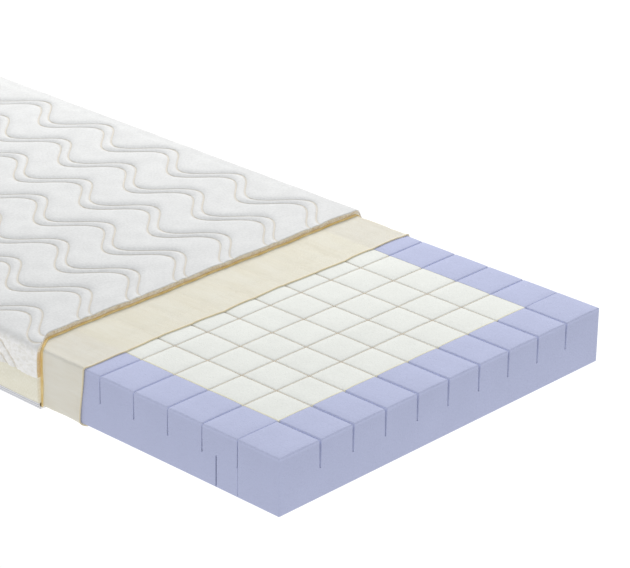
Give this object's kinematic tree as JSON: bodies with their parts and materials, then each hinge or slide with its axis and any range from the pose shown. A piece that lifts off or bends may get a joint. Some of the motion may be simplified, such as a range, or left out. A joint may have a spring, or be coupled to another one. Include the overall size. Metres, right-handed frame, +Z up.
{
  "type": "pressure relief mattress",
  "caption": "Foam hospital mattress: sliced cube slab in a firmer frame, thin inner cover, zipped quilted cover, both cut back at the foot; folds as on a profiling bed.",
  "frame": {"origin": "middle of the underside of the outer cover, on the surface that the mattress lies on", "axes": "+Y along the mattress towards the head end, +Z up to the lying surface, +X to the patient's left"},
  "size_m": [0.9276, 2.0138, 0.1386],
  "materials": {
    "frame_foam": "firm open-cell lilac foam, matte",
    "cube_foam": "soft open-cell white foam, matte",
    "inner_cover": "fine translucent knitted stockinette, cream",
    "lining": "thin woven backing, straw coloured",
    "wadding": "fibre wadding, fuzzy",
    "quilt_face": "white quilted knit, soft sheen",
    "border": "plain cream knit band",
    "base": "fine grey-white knit",
    "zip_tape": "woven tape",
    "zip_teeth": "moulded plastic coil",
    "zip_metal": "nickel-plated die casting"
  },
  "bodies": {
    "seat": {"cube_slab_seat": "cube_foam", "right_rail_seat": "frame_foam", "left_rail_seat": "frame_foam", "inner_cover_seat": "inner_cover", "quilt_lining_seat": "lining", "quilt_wadding_seat": "wadding", "quilt_face_seat": "quilt_face", "cover_border_seat": "border", "cover_base_seat": "base"},
    "thigh": {"cube_slab_thigh": "cube_foam", "right_rail_thigh": "frame_foam", "left_rail_thigh": "frame_foam", "inner_cover_thigh": "inner_cover", "quilt_lining_thigh": "lining", "quilt_wadding_thigh": "wadding", "quilt_face_thigh": "quilt_face", "cover_border_thigh": "border", "cover_base_thigh": "base"},
    "leg": {"cube_slab_leg": "cube_foam", "right_rail_leg": "frame_foam", "left_rail_leg": "frame_foam", "inner_cover_leg": "inner_cover", "foot_bolster": "frame_foam"},
    "back": {"cube_slab_back": "cube_foam", "right_rail_back": "frame_foam", "left_rail_back": "frame_foam", "inner_cover_back": "inner_cover", "quilt_lining_back": "lining", "quilt_wadding_back": "wadding", "quilt_face_back": "quilt_face", "cover_border_back": "border", "cover_base_back": "base", "head_bolster": "frame_foam", "zip_tape_upper": "zip_tape", "zip_tape_lower": "zip_tape", "zip_teeth_upper": "zip_teeth", "zip_teeth_lower": "zip_teeth", "zip_stops": "zip_metal"},
    "slider": {"zip_slider": "zip_metal"},
    "pull": {"zip_pull": "zip_metal"}
  },
  "joints": [
    {"name": "thigh_fold", "type": "hinge", "parent": "seat", "child": "thigh", "pos_m": [0, 0.0379, 0.1386], "axis": [-1, 0, 0], "range_deg": [0, 35], "stiffness_Nm_per_rad": 8},
    {"name": "knee_fold", "type": "hinge", "parent": "thigh", "child": "leg", "pos_m": [0, -0.3653, 0.005], "axis": [1, 0, 0], "range_deg": [0, 50], "stiffness_Nm_per_rad": 8},
    {"name": "back_fold", "type": "hinge", "parent": "seat", "child": "back", "pos_m": [0, 0.2171, 0.1386], "axis": [1, 0, 0], "range_deg": [0, 70], "stiffness_Nm_per_rad": 8},
    {"name": "zip_slide", "type": "slide", "parent": "back", "child": "slider", "axis": [-1, 0, 0], "range_m": [0, 0.7914]},
    {"name": "zip_pull_hinge", "type": "hinge", "parent": "slider", "child": "pull", "pos_m": [0.4107, 1.0045, 0.057], "axis": [0, 0, -1], "range_deg": [0, 160]}
  ]
}
